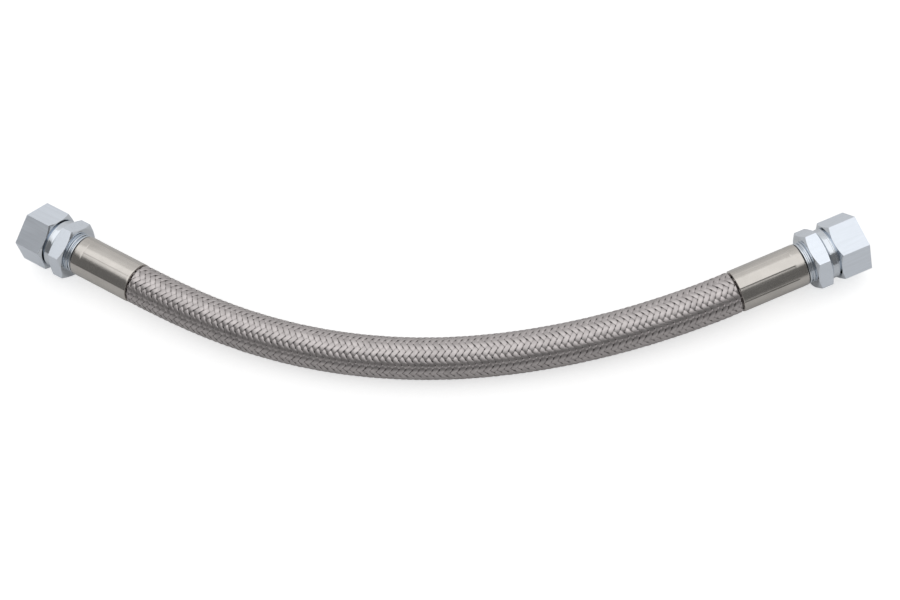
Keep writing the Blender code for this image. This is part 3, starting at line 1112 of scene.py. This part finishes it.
@dataclass
class Studio:
    """White floor, soft lamp, cards that the metal reflects, and the camera.

    A wall has a brightness, and the height of its top edge in degrees as seen from the object. The
    table's two levels of painted shade are at its ends along Y, front and back.
    """

    camera_place: tuple[float, float, float] = (0.092098, -0.326170, 0.583465)
    camera_turn: tuple[float, float, float] = (29.698448, 5.769862, 4.541797)
    lens: float = 66.334
    lamp_glow: float = 0.27
    lamp_size: tuple[float, float] = (1.5, 1.2)
    lamp_place: tuple[float, float, float] = (0.0, 0.15, 1.0)
    room_level: float = 0.8
    room_light: float = 0.85
    paper_level: float = 0.72
    paper_glow: float = 0.55
    wall_radius: float = 1.3
    front_wall: tuple[float, float] = (0.17, 48.0)
    back_wall: tuple[float, float] = (0.7, 35.0)
    # Painted shade of the table: its grey at the front and at the back, reached at these places
    # along Y.
    shade_table_levels: tuple[float, float] = (0.61, 0.76)
    shade_table_ends: tuple[float, float] = (-0.12, 0.16)

    def build_floor(self) -> None:
        """Lay the floor: pale for every ray, white to the camera, with the object's soft shadow."""
        Bench.clear()
        bpy.ops.mesh.primitive_plane_add(size=6.0)
        floor = bpy.context.object
        floor.name = "studio_floor"
        nodes = Nodes("white_paper")
        rays = nodes.add("LightPath").outputs
        seen = nodes.math("ADD", rays["Is Camera Ray"], rays["Is Glossy Ray"])
        seen = nodes.math("ADD", seen, rays["Is Transmission Ray"])
        strength = nodes.math("MULTIPLY", seen, self.paper_glow)
        glow = nodes.add("Emission", Color=grey(1.0), Strength=strength)
        paper = nodes.add("BsdfDiffuse", Color=grey(self.paper_level))
        both = nodes.add("AddShader", _0=paper.outputs[0], _1=glow.outputs[0])
        floor.data.materials.append(nodes.finish(both))

    def hide_from_camera(self, card: Obj) -> None:
        """Leave a card to the metal's reflections alone."""
        card.visible_camera = False
        card.visible_diffuse = False
        card.visible_shadow = False

    def build_wall(self, name: str, level: float, top: float, side: float) -> None:
        """Stand a curved grey card round one half of the table, where only reflections see it.

        Args:
            name: Its name.
            level: Its brightness.
            top: Height of its top edge, in degrees as seen from the object.
            side: -1.0 for the front half, 1.0 for the back half.
        """
        Bench.clear()
        height = self.wall_radius * math.tan(math.radians(top))
        bpy.ops.mesh.primitive_cylinder_add(
            vertices=64,
            radius=self.wall_radius,
            depth=height,
            end_fill_type="NOTHING",
            location=(0.0, 0.0, height / 2),
        )
        wall = bpy.context.object
        wall.name = name
        Bench.delete_faces(wall, lambda middle: middle.y * side < 0.0)
        nodes = Nodes(name)
        glow = nodes.add("Emission", Color=grey(level), Strength=1.0)
        wall.data.materials.append(nodes.finish(glow))
        self.hide_from_camera(wall)

    def build_painted_shade_table(self) -> None:
        """Lay a grey table top that only reflections see: painted shade, darker at the front."""
        Bench.clear()
        bpy.ops.mesh.primitive_circle_add(
            vertices=64, radius=self.wall_radius, fill_type="NGON", location=(0.0, 0.0, 0.05 * MM)
        )
        table = bpy.context.object
        table.name = "painted_shade_table"
        nodes = Nodes("painted_shade_table")
        where = nodes.add("SeparateXYZ", Vector=nodes.add("TexCoord").outputs["Object"])
        near, far = self.shade_table_ends
        depth = nodes.add("MapRange", Value=where.outputs["Y"], From_Min=near, From_Max=far)
        # Painted shade: the grey, darker at the front, dims the floor in the metal's reflections;
        # the hose's own shadow on it is rendered.
        front, back = self.shade_table_levels
        colour = nodes.ramp(depth.outputs["Result"], [(0.0, (front,) * 3), (1.0, (back,) * 3)])
        table.data.materials.append(nodes.finish(nodes.add("BsdfDiffuse", Color=colour)))
        self.hide_from_camera(table)

    def build_lamp(self) -> None:
        """Hang a large soft lamp over the object."""
        data = bpy.data.lights.new("overhead_softbox", "AREA")
        data.shape = "RECTANGLE"
        data.size, data.size_y = self.lamp_size
        data.energy = 4 * self.lamp_glow * data.size * data.size_y
        lamp = bpy.data.objects.new("overhead_softbox", data)
        lamp.location = self.lamp_place
        bpy.context.scene.collection.objects.link(lamp)

    def build_world(self) -> None:
        """Fill the room with light grey, a little dimmer as a light than in reflections."""
        nodes = Nodes("studio_world", "worlds")
        rays = nodes.add("LightPath").outputs
        seen = nodes.math("MAXIMUM", rays["Is Camera Ray"], rays["Is Glossy Ray"])
        strength = nodes.add("MapRange", Value=seen, To_Min=self.room_light, To_Max=1.0)
        room = nodes.add(
            "Background", Color=grey(self.room_level), Strength=strength.outputs["Result"]
        )
        bpy.context.scene.world = nodes.finish(room, "OutputWorld")

    def build_camera(self) -> None:
        """Set up the camera at the photograph's viewpoint."""
        data = bpy.data.cameras.new("camera")
        data.sensor_fit = "HORIZONTAL"
        data.lens = self.lens
        data.clip_start = 0.01
        camera = bpy.data.objects.new("camera", data)
        camera.location = self.camera_place
        camera.rotation_euler = [math.radians(part) for part in self.camera_turn]
        bpy.context.scene.collection.objects.link(camera)
        bpy.context.scene.camera = camera
        bpy.context.scene.view_settings.view_transform = "Standard"

    def build(self) -> None:
        """Set up the whole studio."""
        self.build_camera()
        self.build_floor()
        self.build_lamp()
        self.build_world()
        self.build_wall("front_wall", *self.front_wall, -1.0)
        self.build_wall("back_wall", *self.back_wall, 1.0)
        self.build_painted_shade_table()


# Turns in degrees about the fitting's axis, from the front towards the top: the nut's, the
# insert's and the ferrule's.
ROLLS = {Side.LEFT: (64.5, 74.0, 17.0), Side.RIGHT: (82.0, 83.0, 4.5)}


def main() -> None:
    """Build the hose, the fittings and the studio."""
    logging.basicConfig(level=logging.INFO, format="%(message)s")
    Studio().build()

    hose = WovenHose()
    seats = {side: Seat.from_record(side, hose.up) for side in Side}
    hose.follow_route(seats[Side.LEFT], seats[Side.RIGHT])
    for hand in Hand:
        for first in range(0, hose.strands, hose.strands_per_piece):
            name = f"braid_{hand.name.lower()}_{first // hose.strands_per_piece + 1}"
            piece = hose.build_braid(hand, first, name)
            LOG.info("%s: %d faces", piece.name, len(piece.data.polygons))
    liner = hose.build_liner()
    LOG.info("%s: %d faces", liner.name, len(liner.data.polygons))

    fitting = Fitting()
    nut, insert = fitting.build_nut(), fitting.build_insert()
    ferrule, o_ring = fitting.build_ferrule(), fitting.build_o_ring()
    for side, seat in seats.items():
        nut_roll, hexagon_roll, crimp_roll = (math.radians(angle) for angle in ROLLS[side])
        fitting.place("swivel_nut", nut, seat, nut_roll, f"nut_{side.value}")
        fitting.place("insert", insert, seat, hexagon_roll, "hose")
        fitting.place("ferrule", ferrule, seat, crimp_roll, "hose")
        fitting.place("o_ring", o_ring, seat, 0.0, "hose")
        fitting.dress(seat)
    for model in (nut, insert, ferrule, o_ring):
        bpy.data.objects.remove(model)


if __name__ == "__main__":
    main()
